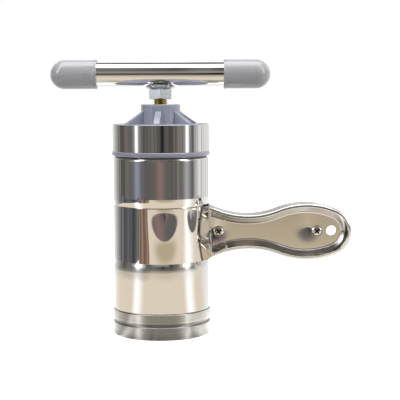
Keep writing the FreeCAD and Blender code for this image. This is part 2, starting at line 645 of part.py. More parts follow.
def make_grip_cap(side):
    """Dipped vinyl cap with a round end and a thickened rim; side is +1 or -1 along X."""
    tip = T_LENGTH / 2
    mouth = tip - GRIP_L
    shoulder = tip - GRIP_R
    bead = Part.Arc(Vector(mouth, 0, GRIP_R), Vector(mouth + GRIP_BEAD_L / 2, 0, GRIP_R + GRIP_BEAD),
                    Vector(mouth + GRIP_BEAD_L, 0, GRIP_R)).toShape()
    edges = [
        line(Vector(mouth, 0, BAR_R), Vector(mouth, 0, GRIP_R)),
        bead,
        line(Vector(mouth + GRIP_BEAD_L, 0, GRIP_R), Vector(shoulder, 0, GRIP_R)),
        arc((shoulder, 0), GRIP_R, 90, 0),
        line(Vector(tip, 0, 0), Vector(shoulder + BAR_R, 0, 0)),
        arc((shoulder, 0), BAR_R, 0, 90),
        line(Vector(shoulder, 0, BAR_R), Vector(mouth, 0, BAR_R))]
    cap = Part.Face(Part.Wire(edges)).revolve(ORIGIN, Vector(1, 0, 0), 360)
    if side < 0:
        cap = cap.mirror(ORIGIN, Vector(1, 0, 0))
    cap.translate(Vector(0, 0, BAR_Z))
    return cap


PARTS = {
    "die_cap": make_die_cap(),
    "die_plate": make_die_plate(),
    "inner_cylinder": make_inner_cylinder(),
    "outer_shell": make_outer_shell(),
    "handle_strap": make_handle_strap(),
    "handle_screws": make_handle_screws(),
    "handle_spacers": make_handle_spacers(),
    "handle_nuts": make_handle_nuts(),
    "lid_moulding": make_lid_moulding(),
    "lid_band": make_lid_band(),
    "lid_nut": make_lid_nut(),
    "piston_plate": make_piston_plate(),
    "thrust_washer": make_thrust_washer(),
    "lead_screw": make_lead_screw(),
    "retaining_washer": make_retaining_washer(),
    "retaining_screw": make_retaining_screw(),
    "flange_nut": make_flange_nut(),
    "handle_tube": make_handle_tube(),
    "grip_cap_left": make_grip_cap(-1),
    "grip_cap_right": make_grip_cap(1),
}

os.makedirs("parts", exist_ok=True)
for name, shape in PARTS.items():
    shape.exportStep("parts/" + name + ".step")
    solids = len(shape.Solids)
    box = shape.BoundBox
    print("%-18s solids %d valid %s volume %.1f z %.2f to %.2f" % (
        name, solids, shape.isValid(), shape.Volume, box.ZMin, box.ZMax))
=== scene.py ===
import math

import bpy
from mathutils import Matrix, Vector


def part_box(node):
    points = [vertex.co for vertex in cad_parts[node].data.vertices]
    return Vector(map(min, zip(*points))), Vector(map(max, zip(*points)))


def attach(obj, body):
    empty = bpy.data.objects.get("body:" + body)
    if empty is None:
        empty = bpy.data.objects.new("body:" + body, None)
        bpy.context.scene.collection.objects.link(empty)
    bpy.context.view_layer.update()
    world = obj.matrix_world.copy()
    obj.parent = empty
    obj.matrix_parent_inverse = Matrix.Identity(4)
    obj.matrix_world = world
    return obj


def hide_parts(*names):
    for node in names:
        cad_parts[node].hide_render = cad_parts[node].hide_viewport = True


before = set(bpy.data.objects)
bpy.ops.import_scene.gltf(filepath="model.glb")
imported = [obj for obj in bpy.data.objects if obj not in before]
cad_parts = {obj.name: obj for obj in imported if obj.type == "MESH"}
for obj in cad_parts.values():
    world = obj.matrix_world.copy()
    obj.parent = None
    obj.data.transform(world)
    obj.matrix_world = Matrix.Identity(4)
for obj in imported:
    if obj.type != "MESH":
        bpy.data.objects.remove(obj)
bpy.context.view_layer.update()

# Screw-driven noodle press: looks, in the frame of the solids. Blender works in metres, the sizes
# of the press below are in millimetres.
MM = 0.001

# Camera, matched to the photograph
LENS_MM = 108.0
SENSOR_MM = 36.0
CAMERA_AT = Vector((26.7, -822.9, 170.2)) * MM
CAMERA_PITCH = 5.47      # degrees down
CAMERA_ROLL = 0.25       # degrees, horizon falls to the left
CLIP_START = 0.01

# Studio in metres; azimuths and widths in degrees, from the camera's side and positive to the right
ROOM_R = 1.6
ROOM_LOW = -1.0
ROOM_MID = 1.1           # the walls are plain and dim above
ROOM_HIGH = 3.4
ROOM_DIM = 0.2
ROOM_TONES = [           # azimuth, brightness: dim behind the camera, white behind the press
    (-180, 0.75), (-150, 1.0), (-132, 0.6), (-116, 0.3), (-102, 0.1), (-90, 0.22), (-66, 0.15),
    (-46, 0.18), (-33, 0.14), (-20, 0.2), (-4, 0.26), (8, 0.22), (17, 0.11), (28, 0.11), (48, 0.3),
    (70, 0.3), (82, 0.18), (92, 0.6), (99, 1.0), (150, 1.0), (180, 0.75)]
ROOM_TINT = (1.06, 0.98, 0.92)           # warm walls where they are dim
LIT_WALL = 0.5           # a wall of this brightness or more is white
SKY_FADE = (0.3, 0.7, 0.5)               # low, high: the surround dims upwards to a share
GROUND_FADE = (-0.6, -0.3, 0.4)          # low, high: and downwards
STREAK_WIDTH = 5.0       # upright streaks of light and shade
STREAK_RANGE = (0.3, 0.7)                # values of the noise between which they have full contrast
ROOM_STREAKS = 0.3       # contrast of the streaks on the walls
SHEET_STREAKS = 0.45
FOOT_STREAKS = 0.5
ROUND_SIDES = 96         # of the walls and the table
SOFTBOXES = [(-57, 9, "#a6adc0"), (66, 10, "#c2c3c8")]      # azimuth, width, tone of the foot
SOFTBOX_R = 1.5
SOFTBOX_TIERS = [        # low, high, glow, width against the softbox's own
    (0.035, 0.3, 1.9, 1.0), (0.3, 2.7, 6.0, 1.6)]
SOFTBOX_AROUND = 0.2     # brightness that the tiers fade to
SOFTBOX_FOOT = (-0.05, 0.035, 2.0, 0.17)     # low, high, width, brightness that it fades to
SOFTBOX_CORE = (0.45, 0.85, 10.0, 0.8)       # low, high, glow, width
CORE_R = 0.99 * SOFTBOX_R
CARDS = [                # name, azimuth, width, low, high, radius, tone, brightness it fades to
    ("camera_body", 5.0, 10, 0.07, 0.32, 0.86, 0.02, 0.15),
    ("brown_front", 0, 22, -0.2, 0.05, 1.2, "#9d8583", 0.16),
    ("light_stand", 113, 1.6, 0.0, 0.5, 0.8, 0.3, None),
    ("shelf_edge", 0, 80, 0.55, 0.9, 1.5, 0.42, None)]
CARD_FADE = ((0.15, 0.0), (0.6, 0.85), (1.4, 1.0))     # widths from the middle, share of the fade
LAMP_SIZE = (1.6, 1.2)
LAMP_WATTS = 18.0
LAMP_AT = (0.1, 0.0, 1.6)

# Floor for the camera, and the table with two flat things on it for the metal, in metres
FLOOR_Z = -0.0056        # room for the die cap to come down
FLOOR_SIZE = 14.0
FLOOR_TONE = 0.93
FLOOR_ROUGH = 0.9
TABLE_Z = -0.0004
SHEET_Z = -0.0002
TABLE_R = 0.88
TABLE_EDGE = ((-0.30, 0.16), (0.8, -0.6))    # a point of its straight edge, and the way in from it
TABLE_TONE = "#fff3e0"
TABLE_GLOW = 1.08
TABLE_PALE = 1.2         # glow towards the white backdrop
PALE_LEFT = (-142, -112) # azimuths between which the table turns plain
PALE_RIGHT = (102, 124)  # and pale again
STREAK_GLOW = 1.75       # gloss of the table towards the softboxes
STREAK_SIDES = (1.4, 2.0)                # its reach to the left and the right, in softbox widths
SPOT_EDGE = 0.6          # share of a spot's radius over which it fades in
SHADE_R = 0.13           # the press darkens the table round its foot
SHADE_TONE = "#8d8a80"
SHADE_AZIMUTHS = (-44, 52)
FOOT_LEFT = [(-125, 2.0), (-98, 1.5), (-80, 0.8), (-68, 0.5), (-57, 2.0)]  # azimuth, glow beside it
FOOT_RIGHT = [(66, 2.0), (78, 1.2), (95, 2.0), (120, 2.2)]
DARKER_SPOT = (0.12, -0.6, 0.34)           # x, y, radius of a darker, browner place on the table
DARKER_TONE = "#d9c9aa"
CLOTH_CORNERS = [(-0.85, -0.66), (-0.32, -0.25), (-1.1, 0.5), (-0.37, 0.2)]
CLOTH_TONES = [          # azimuth, brightness
    (-121, 0.4), (-112, 0.2), (-104, 0.24), (-92, 0.12), (-84, 0.18), (-66, 0.1), (-56, 0.2)]
CLOTH_TINT = (0.94, 0.97, 1.1)
BOARD_CORNERS = [(-0.77, -0.60), (-0.26, -0.20), (-0.43, -0.88), (-0.158, -0.32)]
BOARD_TONES = [(-50, "#ab9380"), (-34, "#8d7562"), (-30, "#ab9380")]

# Sizes of the modelled pieces
LEAD_R = 5.0
LEAD_PITCH = 1.5
LEAD_DEPTH = 0.92        # of the thread
LEAD_FORM = ((0, 0), (0.12, 0), (0.44, 1), (0.56, 1), (0.88, 0), (1, 0))   # shares of pitch, depth
LEAD_STEPS = 32
SHOULDER_GAP = 0.2       # between the thread's end and the thrust washer
JOURNAL_R = 4.0
JOURNAL_BREAK = 0.5
JOURNAL_SUNK = 3.0       # into the threaded rod
END_HOLE_R = 2.5
END_HOLE_DEPTH = 12.0
HEAD_ABOVE_NUT = 1.0     # the lead screw's half-round head begins this far above the nut
SHANK_R = 2.0            # handle's screws
SHANK_TIP = (1.6, 0.5)   # radius of the tip and height of its chamfer
HEAD_R = 3.7
HEAD_H = 2.4
HEAD_EDGE = 0.15
HEAD_DOME = (            # shares of the head's radius, heights above its seat
    (1.0, 0.8), (0.95, 1.3), (0.83, 1.75), (0.62, 2.12), (0.36, 2.34), (0.12, HEAD_H))
CROSS_W = 1.5            # width of a slot of the cross recess
CROSS_L = 5.0
CROSS_DEPTH = 1.9
CROSS_TAPER = 0.55
CROSS_TURNS = (35, 125)
CROSS_RIM = 0.3          # below the head's crown, where the painted shade of the recess begins
NUT_AF = 15.0            # flange nut, across flats
NUT_FACE = 0.97          # plain face of a hexagon's end, against its width across flats
NUT_CHAMFER = 30.0       # degrees
NUT_ROOM = 1.02          # the chamfering tool clears the corners
NUT_RIM_T = 1.2
NUT_RIM_LOW = 0.3        # chamfers of the flange's rim
NUT_RIM_HIGH = 0.2
NUT_CONE_H = 1.4
NUT_DISH = 1.3           # from the flange's rim up to its bearing face
NUT_SEAT_R = 7.0
NUT_TEETH = 20
NUT_TOOTH = (6.0, 1.3)   # length and width of the gap between two teeth
NUT_TOOTH_TAPER = 0.15
NUT_TOOTH_DEPTH = 0.45
NUT_SIDES = 80
SMALL_NUT_AF = 7.0       # nuts behind the handle
HOLE_SIDES = 32
THREAD_ROOT_R = 30.3     # threads of the cylinder, their feet sunk into it
THREAD_CREST_R = 31.0
THREAD_FOOT = 0.45       # widths of the ridge against the pitch
THREAD_TIP = 0.15
THREAD_STEPS = 72
NECK_THREAD = (126.0, 139.5, 4.0)        # low, high and pitch of the lid's thread
SPIGOT_THREAD = (4.3, 8.7, 2.0)          # of the die cap's thread
CUT_PAST = 1.0           # how far a cutting tool runs past the piece
MERGE = 0.002
SMOOTH_ANGLE = 30.0      # degrees

# Finishes
STAINLESS = "#d2d0cd"
BUFF_DEPTH = 0.2         # height of the buffing lines at full strength
HAZE_PATCH = 16.0        # patches of haze on the polished steel
DRAWN_AT = 45.0          # height where the shell is drawn in under the strap
DRAWN_REACH = 9.0
DRAWN_DULL = 0.22        # roughness that this adds
BAND_END = 32.0          # where the strap leaves the barrel
DISH_START = 36.0
BAND_ROUGH = 0.03
DISH_ROUGH = 0.13
DISH_PATCH = 9.0
DISH_UNEVEN = (0.7, 1.3)
FOLD_X = 26.2            # painted shade: a dark line in the crease where the handle leaves the band, at mid-height
FOLD_Z = 69.9
FOLD_BOW = 0.006         # how that line bows out, per mm
FOLD_LINE = (0.3, 1.1)   # half widths, full and faded
FOLD_SHADE_TONE = "#524b43"
FLANK_START = 1.0        # painted shade: a darker tint of the flank, from the line on
FLANK_END = (32.5, 34.5)
FLANK_SHADE_TONE = "#b2a99c"
DENTS = (                # x, z, depth, reach across and reach down of shallow dents in the strap
    (3.2, 86.0, 1.0, 18.0, 35.0), (21.7, 87.0, 0.8, 6.0, 26.0),
    (37.0, 72.0, 1.2, 13.0, 13.0), (101.0, 72.5, 0.8, 13.0, 13.0))
DENT_TOP = 50.0          # the sheet runs out much more gently above a dent
FINE_RINGS = 0.6         # tool marks of the turned aluminium
WIDE_RINGS = 1.4
RING_RANGE = (0.3, 0.7)
RING_TONES = ("#aeaca6", "#d2d0ca")
RING_ROUGH = (0.28, 0.4)
RING_DEPTH = 0.3
RING_STRENGTH = 0.25
RING_SMEAR = 0.95        # anisotropy, a quarter turn from the tangent
GROOVE_AT = (7.9, 8.7, 10.2, 10.9)       # heights of the groove under the flange, with its bevels
# painted shade: darker tone of the groove under the flange
GROOVE_SHADE_TONE = "#a8a6a2"
MOTTLE = 1.1             # unevenness of plated and machined metal
GRAIN_DEPTH = 0.1        # sparked texture of the plastics at full strength
PLASTIC_IOR = 1.55


def srgb(code):
    """Linear RGBA of an sRGB hex colour."""
    parts = [int(code[i:i + 2], 16) / 255 for i in (1, 3, 5)]
    linear = [c / 12.92 if c <= 0.04045 else ((c + 0.055) / 1.055) ** 2.4 for c in parts]
    return tuple(linear) + (1.0,)


def grey(tone):
    """Linear RGBA of a brightness."""
    return (tone, tone, tone, 1.0)


def add(tree, kind, inputs=None, **settings):
    """Add a node with its settings; an input takes a value or an output socket to link."""
    node = tree.nodes.new(kind)
    for name, value in settings.items():
        setattr(node, name, value)
    for name, value in (inputs or {}).items():
        if isinstance(value, bpy.types.NodeSocket):
            tree.links.new(value, node.inputs[name])
        else:
            node.inputs[name].default_value = value
    return node


def ramp(tree, value, low, high, start=0.0, end=1.0, **settings):
    """Value carried from the range low to high over to the range start to end."""
    return add(tree, "ShaderNodeMapRange", {
        "Value": value, "From Min": low, "From Max": high, "To Min": start, "To Max": end},
        **settings).outputs[0]


def combine(tree, operation, *values):
    """Result of a math operation."""
    return add(tree, "ShaderNodeMath", dict(enumerate(values)), operation=operation).outputs[0]


def mix(tree, factor, first, second, **settings):
    """Colour between two colours."""
    return add(tree, "ShaderNodeMix", {0: factor, 6: first, 7: second},
               data_type="RGBA", **settings).outputs[2]


def noise(tree, vector, scale, detail):
    """Noise between 0 and 1."""
    return add(tree, "ShaderNodeTexNoise", {
        "Vector": vector, "Scale": scale, "Detail": detail}).outputs["Fac"]


def stretched(tree, vector, scale):
    """Coordinates scaled along each axis."""
    return add(tree, "ShaderNodeMapping", {"Vector": vector, "Scale": scale}).outputs[0]


def object_coords(tree):
    """Coordinates of the frame, in metres."""
    return add(tree, "ShaderNodeTexCoord").outputs["Object"]


def per_mm(size):
    """Scale of a pattern that repeats once in a size in mm."""
    return 1 / (size * MM)


def bumped(tree, height, strength, depth, **settings):
    """Normal of a surface with a relief of a depth in mm."""
    return add(tree, "ShaderNodeBump", {
        "Height": height, "Strength": strength, "Distance": depth * MM}, **settings).outputs[0]


def new_material(name):
    """Material with its node tree and its Principled shader, joined to the output."""
    material = bpy.data.materials.new(name)
    material.use_nodes = True
    tree = material.node_tree
    tree.nodes.clear()
    shader = add(tree, "ShaderNodeBsdfPrincipled")
    add(tree, "ShaderNodeOutputMaterial", {"Surface": shader.outputs[0]})
    return material, tree, shader


def polished_stainless(name, spacing, low, high, depth, drawn=None):
    """Mirror-polished stainless sheet: faint buffing lines, spaced in mm along each axis, and a
    haze in patches, with a roughness from low to high. drawn is a height in mm where the sheet is
    drawn in and the buff leaves it duller."""
    material, tree, shader = new_material(name)
    coords = object_coords(tree)
    lines = noise(tree, stretched(tree, coords, [per_mm(size) for size in spacing]), 1.0, 2.0)
    haze = noise(tree, coords, per_mm(HAZE_PATCH), 3.0)
    gloss = ramp(tree, haze, 0.0, 1.0, low, high)
    if drawn is not None:
        height = add(tree, "ShaderNodeSeparateXYZ", {0: coords}).outputs["Z"]
        away = combine(tree, "ABSOLUTE", combine(tree, "SUBTRACT", height, drawn * MM))
        dull = ramp(tree, away, 0.0, DRAWN_REACH * MM, DRAWN_DULL, 0.0,
                    interpolation_type="SMOOTHSTEP")
        gloss = combine(tree, "ADD", gloss, dull)
    tree.links.new(gloss, shader.inputs["Roughness"])
    tree.links.new(bumped(tree, lines, depth, BUFF_DEPTH), shader.inputs["Normal"])
    shader.inputs["Base Color"].default_value = srgb(STAINLESS)
    shader.inputs["Metallic"].default_value = 1.0
    return material


def strap_dents(tree, x_coord, z_coord):
    """Depth in mm of the strap's dents, each deepest at the top and running out below."""
    depth = 0.0
    for x, z, deep, wide, tall in DENTS:
        across = ramp(tree, x_coord, x * MM, (x + wide) * MM, clamp=False)
        down = ramp(tree, z_coord, z * MM, (z - tall) * MM)
        up = ramp(tree, z_coord, z * MM, (z + DENT_TOP) * MM)
        place = add(tree, "ShaderNodeCombineXYZ", {
            "X": across, "Z": combine(tree, "ADD", down, up)})
        near = add(tree, "ShaderNodeTexGradient", {"Vector": place.outputs[0]},
                   gradient_type="QUADRATIC_SPHERE")
        depth = combine(tree, "MULTIPLY_ADD", near.outputs["Fac"], deep, depth)
    return depth


def strap_colour(tree, x_coord, z_coord):
    """Colour of the strap: painted shade as a bowed dark line where the handle leaves the band, and
    as a darker tint of the flank.
    """
    off = combine(tree, "SUBTRACT", z_coord, FOLD_Z * MM)
    bow = combine(tree, "MULTIPLY", off, off)
    line = combine(tree, "MULTIPLY_ADD", bow, -FOLD_BOW / MM, x_coord)
    away = combine(tree, "ABSOLUTE", combine(tree, "SUBTRACT", line, FOLD_X * MM))
    full, faded = FOLD_LINE
    # painted shade of the crease
    crease_shade = ramp(tree, away, full * MM, faded * MM, 1.0, 0.0)
    begins = ramp(tree, line, FOLD_X * MM, (FOLD_X + FLANK_START) * MM)
    low, high = FLANK_END
    ends = ramp(tree, x_coord, low * MM, high * MM, 1.0, 0.0)
    flank = combine(tree, "MULTIPLY", begins, ends)
    # painted shade: the flank is tinted darker
    shaded_flank = mix(tree, flank, srgb(STAINLESS), srgb(FLANK_SHADE_TONE))
    return mix(tree, crease_shade, shaded_flank, srgb(FOLD_SHADE_TONE))


def pressed_stainless():
    """Polished stainless strap: bright on the band, hazier in the pressed dish of the handle, where
    a buff hardly reaches, dented a little on the band and beside the screws."""
    material, tree, shader = new_material("pressed_stainless_strap")
    coords = object_coords(tree)
    split = add(tree, "ShaderNodeSeparateXYZ", {0: coords})
    x_coord, z_coord = split.outputs["X"], split.outputs["Z"]
    uneven = ramp(tree, noise(tree, coords, per_mm(DISH_PATCH), 2.0), 0.0, 1.0, *DISH_UNEVEN)
    reach = ramp(tree, x_coord, BAND_END * MM, DISH_START * MM, BAND_ROUGH, DISH_ROUGH)
    gloss = combine(tree, "MULTIPLY", reach, uneven)
    dents = bumped(tree, strap_dents(tree, x_coord, z_coord), 1.0, 1.0, invert=True)
    tree.links.new(gloss, shader.inputs["Roughness"])
    tree.links.new(dents, shader.inputs["Normal"])
    tree.links.new(strap_colour(tree, x_coord, z_coord), shader.inputs["Base Color"])
    shader.inputs["Metallic"].default_value = 1.0
    return material


def turned_aluminium():
    """Turned aluminium: rings left by the tool, drawn coarser than real ones so that they show,
    smear reflections upright; the groove under the flange is painted darker, as painted shade."""
    material, tree, shader = new_material("turned_aluminium")
    coords = object_coords(tree)
    lines = noise(tree, stretched(tree, coords, (0, 0, per_mm(FINE_RINGS))), 1.0, 3.0)
    rings = noise(tree, stretched(tree, coords, (0, 0, per_mm(WIDE_RINGS))), 1.0, 1.0)
    dark, light = (srgb(tone) for tone in RING_TONES)
    metal = mix(tree, ramp(tree, rings, *RING_RANGE), dark, light)
    height = add(tree, "ShaderNodeSeparateXYZ", {0: coords}).outputs["Z"]
    low, floor, ceiling, high = (level * MM for level in GROOVE_AT)
    # painted shade darkens the groove between its bevels
    groove_shade = combine(tree, "MULTIPLY", ramp(tree, height, low, floor),
                  ramp(tree, height, ceiling, high, 1.0, 0.0))
    around = add(tree, "ShaderNodeTangent", direction_type="RADIAL", axis="Z")
    tree.links.new(mix(tree, groove_shade, metal, srgb(GROOVE_SHADE_TONE)), shader.inputs["Base Color"])
    tree.links.new(ramp(tree, lines, 0.0, 1.0, *RING_ROUGH), shader.inputs["Roughness"])
    tree.links.new(bumped(tree, lines, RING_STRENGTH, RING_DEPTH), shader.inputs["Normal"])
    tree.links.new(around.outputs[0], shader.inputs["Tangent"])
    shader.inputs["Metallic"].default_value = 1.0
    shader.inputs["Anisotropic"].default_value = RING_SMEAR
    shader.inputs["Anisotropic Rotation"].default_value = 0.25
    return material


def plain_metal(name, colour, low, high):
    """Machined or plated metal with a fine uneven finish, of a roughness from low to high, that
    breaks up its highlights."""
    material, tree, shader = new_material(name)
    mottle = noise(tree, object_coords(tree), per_mm(MOTTLE), 3.0)
    tree.links.new(ramp(tree, mottle, 0.0, 1.0, low, high), shader.inputs["Roughness"])
    shader.inputs["Base Color"].default_value = srgb(colour)
    shader.inputs["Metallic"].default_value = 1.0
    return material


def moulded_plastic(name, colour, low, high, grit, relief):
    """Moulded plastic with a faint sparked texture, of a roughness from low to high, that softens
    its sheen; grit is the texture's size in mm and relief its strength."""
    material, tree, shader = new_material(name)
    grain = noise(tree, object_coords(tree), per_mm(grit), 2.0)
    tree.links.new(ramp(tree, grain, 0.0, 1.0, low, high), shader.inputs["Roughness"])
    tree.links.new(bumped(tree, grain, relief, GRAIN_DEPTH), shader.inputs["Normal"])
    shader.inputs["Base Color"].default_value = srgb(colour)
    shader.inputs["IOR"].default_value = PLASTIC_IOR
    return material


def deselect():
    """Leave nothing selected."""
    for other in bpy.context.selected_objects:
        other.select_set(False)


def choose(piece):
    """Make one piece the active and only selected object."""
    deselect()
    bpy.context.view_layer.objects.active = piece
    piece.select_set(True)


def edit(piece):
    """Enter edit mode on one piece, with all of it selected."""
    choose(piece)
    bpy.ops.object.mode_set(mode="EDIT")
    bpy.ops.mesh.select_all(action="SELECT")


def pick(piece, wanted):
    """Enter edit mode with only the wanted faces selected."""
    edit(piece)
    bpy.ops.mesh.select_all(action="DESELECT")
    bpy.ops.object.mode_set(mode="OBJECT")
    for face in piece.data.polygons:
        face.select = wanted(face)
    bpy.ops.object.mode_set(mode="EDIT")


def leave_edit():
    """Point all faces outwards and go back to object mode."""
    bpy.ops.mesh.select_all(action="SELECT")
    bpy.ops.mesh.normals_make_consistent(inside=False)
    bpy.ops.object.mode_set(mode="OBJECT")


def apply_place(piece):
    """Put an object's place, turn and scale into its mesh."""
    choose(piece)
    bpy.ops.object.transform_apply(location=True, rotation=True, scale=True)


def turned(outline, sides=48):
    """Turned piece about Z: a disc extruded ring by ring through (radius, height) pairs in mm."""
    deselect()
    radius, height = outline[0]
    bpy.ops.mesh.primitive_circle_add(
        vertices=sides, radius=radius * MM, fill_type="NGON", location=(0, 0, height * MM))
    piece = bpy.context.object
    apply_place(piece)
    edit(piece)
    for next_radius, next_height in outline[1:]:
        rise = (next_height - height) * MM
        grow = next_radius / radius
        bpy.ops.mesh.extrude_region_move(TRANSFORM_OT_translate={"value": (0, 0, rise)})
        bpy.ops.transform.resize(
            value=(grow, grow, 1.0), center_override=(0, 0, next_height * MM))
        radius, height = next_radius, next_height
    leave_edit()
    return piece


def hexagon(across_flats, low, high):
    """Upright hexagonal prism with one corner to the front and chamfered ends, sizes in mm."""
    deselect()
    corner = across_flats / math.sqrt(3)
    bpy.ops.mesh.primitive_cylinder_add(
        vertices=6, radius=corner * MM, depth=(high - low) * MM,
        location=(0, 0, (low + high) / 2 * MM))
    prism = bpy.context.object
    apply_place(prism)
    flat = across_flats / 2 * NUT_FACE
    bevel = (corner - flat) * math.tan(math.radians(NUT_CHAMFER))
    clear = corner * NUT_ROOM
    ends = turned([(flat, low), (clear, low + bevel), (clear, high - bevel), (flat, high)])
    return carve(prism, ends, "INTERSECT")


def carve(piece, tool, operation="DIFFERENCE"):
    """Cut a piece with a tool, or join or intersect the two, and remove the tool."""
    cut = piece.modifiers.new("cut", "BOOLEAN")
    cut.object = tool
    cut.operation = operation
    cut.solver = "EXACT"
    choose(piece)
    bpy.ops.object.modifier_apply(modifier=cut.name)
    bpy.data.objects.remove(tool)
    return piece


def bar(length, width, low, high, taper=1.0):
    """Block along X about the Z axis, its lower end drawn in by taper, sizes in mm."""
    deselect()
    bpy.ops.mesh.primitive_cube_add(size=1.0, location=(0, 0, (low + high) / 2 * MM))
    block = bpy.context.object
    block.scale = (length * MM, width * MM, (high - low) * MM)
    apply_place(block)
    pick(block, lambda face: face.normal.z < -0.5)
    bpy.ops.transform.resize(value=(taper, taper, 1.0), center_override=(0, 0, low * MM))
    leave_edit()
    return block


def twin(piece, turn, place=(0, 0, 0)):
    """Copy of a piece with a mesh of its own, turned and then moved."""
    copy = piece.copy()
    copy.data = piece.data.copy()
    bpy.context.scene.collection.objects.link(copy)
    copy.rotation_euler = turn
    copy.location = place
    apply_place(copy)
    return copy


def dress(piece, name, body, slot, finish, *nodes):
    """Name a finished piece, smooth it, give it its finish and let it ride on its body."""
    piece.name = name
    piece.data.name = name
    choose(piece)
    bpy.ops.object.shade_smooth_by_angle(angle=math.radians(SMOOTH_ANGLE))
    piece.data.materials.clear()
    piece.data.materials.append(finish)
    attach(piece, body)
    if nodes:
        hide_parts(*nodes)
    return piece


def profile_line(points):
    """Wire in the XZ plane, one vertex extruded through (radius, height) pairs in mm."""
    deselect()
    bpy.ops.mesh.primitive_plane_add(size=MM, location=(0, 0, 0))
    wire = bpy.context.object
    edit(wire)
    bpy.ops.mesh.merge(type="CENTER")
    start = Vector((points[0][0], 0, points[0][1])) * MM
    bpy.ops.transform.translate(value=start)
    for (x0, z0), (x1, z1) in zip(points, points[1:]):
        step = ((x1 - x0) * MM, 0, (z1 - z0) * MM)
        bpy.ops.mesh.extrude_region_move(TRANSFORM_OT_translate={"value": step})
    bpy.ops.object.mode_set(mode="OBJECT")
    return wire


def wind(wire, pitch, turns, steps):
    """Wind a wire round Z into a right-handed thread."""
    screw = wire.modifiers.new("thread", "SCREW")
    screw.angle = math.tau
    screw.screw_offset = pitch * MM
    screw.iterations = turns
    screw.steps = steps
    screw.render_steps = steps
    choose(wire)
    bpy.ops.object.modifier_apply(modifier=screw.name)
    edit(wire)
    bpy.ops.mesh.remove_doubles(threshold=MERGE * MM)
    leave_edit()
    return wire


def trim(piece, height, upper):
    """Cut a piece off square at a height in mm and close it; upper says which end goes."""
    edit(piece)
    bpy.ops.mesh.bisect(
        plane_co=(0, 0, height * MM), plane_no=(0, 0, 1), use_fill=True,
        clear_outer=upper, clear_inner=not upper)
    leave_edit()


def make_lead_screw(finish):
    """Threaded rod on a plain journal, with the half-round head that lies inside the T-handle."""
    low, high = (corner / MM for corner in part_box("lead_screw"))
    tube_low, tube_high = (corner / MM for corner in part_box("handle_tube"))
    washer_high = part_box("thrust_washer")[1].z / MM
    shoulder = washer_high + SHOULDER_GAP
    tube_z = (tube_low.z + tube_high.z) / 2
    root = LEAD_R - LEAD_DEPTH
    bottom = shoulder - 2 * LEAD_PITCH
    wire = profile_line([
        (root + LEAD_DEPTH * out, bottom + LEAD_PITCH * up) for up, out in LEAD_FORM])
    rod = wind(wire, LEAD_PITCH, int((tube_z - bottom) / LEAD_PITCH), LEAD_STEPS)
    trim(rod, shoulder, False)
    trim(rod, tube_z - 2 * LEAD_PITCH, True)
    journal = turned([
        (JOURNAL_R - JOURNAL_BREAK, low.z), (JOURNAL_R, low.z + JOURNAL_BREAK),
        (JOURNAL_R, shoulder + JOURNAL_SUNK)])
    rod = carve(rod, journal, "UNION")
    hole = turned([
        (END_HOLE_R, low.z - CUT_PAST), (END_HOLE_R, low.z + END_HOLE_DEPTH)], HOLE_SIDES)
    rod = carve(rod, hole)
    head = turned([(high.y, -high.x), (high.y, high.x)])
    head.rotation_euler = (0, math.radians(90), 0)
    head.location = (0, 0, tube_z * MM)
    apply_place(head)
    head_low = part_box("flange_nut")[1].z / MM + HEAD_ABOVE_NUT
    trim(head, head_low, False)
    trim(head, high.z, True)
    rod = carve(rod, head, "UNION")
    dress(rod, "threaded_lead_screw", "screw", "yellow_zinc", finish, "lead_screw")


def make_handle_screws(finish, recess_shade):
    """Two pan-head screws, with painted shade in the cross recess."""
    low, high = (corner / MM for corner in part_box("handle_screws"))
    length = high.y - low.y - HEAD_H
    crown = length + HEAD_H
    middle = (low.z + high.z) / 2
    tip_r, tip_h = SHANK_TIP
    screw = turned([
        (tip_r, 0), (SHANK_R, tip_h), (SHANK_R, length),
        (HEAD_R - HEAD_EDGE, length), (HEAD_R, length + HEAD_EDGE)]
        + [(HEAD_R * part, length + height) for part, height in HEAD_DOME])
    slot = bar(CROSS_L, CROSS_W, crown - CROSS_DEPTH, crown + CUT_PAST, CROSS_TAPER)
    for turn in CROSS_TURNS:
        screw = carve(screw, twin(slot, (0, 0, math.radians(turn))))
    bpy.data.objects.remove(slot)
    recess_low = (low.y + CROSS_RIM) * MM
    recess_high = (low.y + HEAD_H) * MM
    for i, x in enumerate((low.x + HEAD_R, high.x - HEAD_R)):
        axis = Vector((x, high.y, middle)) * MM
        placed = twin(screw, (math.radians(90), 0, 0), axis)
        nodes = ["handle_screws"] if i == 0 else []
        dress(placed, "pan_head_screw_%d" % i, "barrel", "zinc_steel", finish, *nodes)
        # faces sunk in the cross recess take the painted shade
        placed.data.materials.append(recess_shade)
        for face in placed.data.polygons:
            away = face.center - axis
            central = math.hypot(away.x, away.z) < CROSS_L / 2 * MM
            sunk = recess_low < face.center.y < recess_high
            face.material_index = 1 if central and sunk else 0
    bpy.data.objects.remove(screw)


def make_handle_nuts(finish):
    """Chamfered hexagon nuts on the far side of the handle."""
    low, high = (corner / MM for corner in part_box("handle_nuts"))
    half = SMALL_NUT_AF / 2
    height = high.y - low.y
    middle = (low.z + high.z) / 2
    hole = [(SHANK_R, -CUT_PAST), (SHANK_R, height + CUT_PAST)]
    nut = carve(hexagon(SMALL_NUT_AF, 0, height), turned(hole, HOLE_SIDES))
    for i, x in enumerate((low.x + half, high.x - half)):
        placed = twin(nut, (math.radians(-90), 0, 0), Vector((x, low.y, middle)) * MM)
        nodes = ["handle_nuts"] if i == 0 else []
        dress(placed, "handle_nut_%d" % i, "barrel", "zinc_steel", finish, *nodes)
    bpy.data.objects.remove(nut)


